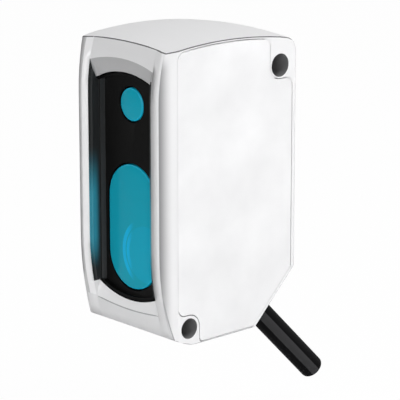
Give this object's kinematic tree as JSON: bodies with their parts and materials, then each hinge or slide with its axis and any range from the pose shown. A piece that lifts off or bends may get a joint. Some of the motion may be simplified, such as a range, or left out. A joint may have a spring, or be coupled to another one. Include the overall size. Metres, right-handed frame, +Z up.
{
  "type": "laser displacement sensor",
  "caption": "Compact laser triangulation displacement sensor with cast housing, recessed optical window, side cover, through mounting bores and a cable stub.",
  "frame": {"origin": "middle of the flat mounting side, on the -X face of the housing", "axes": "+Z up the housing, -Y out of the optical window, +X out of the side cover"},
  "size_m": [0.02, 0.0428, 0.062],
  "materials": {
    "painted_casting": "light grey-white fine satin paint on a die casting",
    "painted_cover": "light grey-white fine satin paint",
    "seal_rubber": "dull black rubber",
    "black_plastic": "black moulded plastic",
    "filter_glass": "blue-green coated filter glass",
    "lens_glass": "clear lens glass",
    "brass": "turned brass",
    "steel": "plain steel",
    "circuit_board": "green solder mask",
    "chip_plastic": "dull black chip plastic",
    "flex_film": "amber film",
    "white_plastic": "off-white moulded plastic",
    "cable_jacket": "black cable jacket",
    "cable_filling": "black cable filling",
    "wire_brown": "brown wire insulation",
    "wire_white": "white wire insulation",
    "wire_blue": "blue wire insulation",
    "wire_black": "black wire insulation"
  },
  "bodies": {
    "root": {"housing": "painted_casting", "side_cover": "painted_cover", "cover_gasket": "seal_rubber", "window_frame": "black_plastic", "window_seal": "seal_rubber", "emitter_window": "filter_glass", "receiver_window": "filter_glass", "optics_chassis": "black_plastic", "laser_holder": "brass", "laser_diode": "steel", "collimator_lens": "lens_glass", "laser_board": "circuit_board", "receiver_lens": "lens_glass", "lens_retainer": "black_plastic", "image_sensor": "chip_plastic", "sensor_board": "circuit_board", "sensor_flex": "flex_film", "main_board": "circuit_board", "processor_chip": "chip_plastic", "driver_chip": "chip_plastic", "power_coil": "chip_plastic", "cable_connector": "white_plastic", "board_screw_1": "steel", "board_screw_2": "steel", "board_screw_3": "steel", "board_screw_4": "steel", "cable_jacket": "cable_jacket", "cable_core": "cable_filling", "cable_seal": "seal_rubber", "cable_clamp": "steel", "conductor_1": "wire_brown", "conductor_2": "wire_white", "conductor_3": "wire_blue", "conductor_4": "wire_black"}
  },
  "joints": []
}
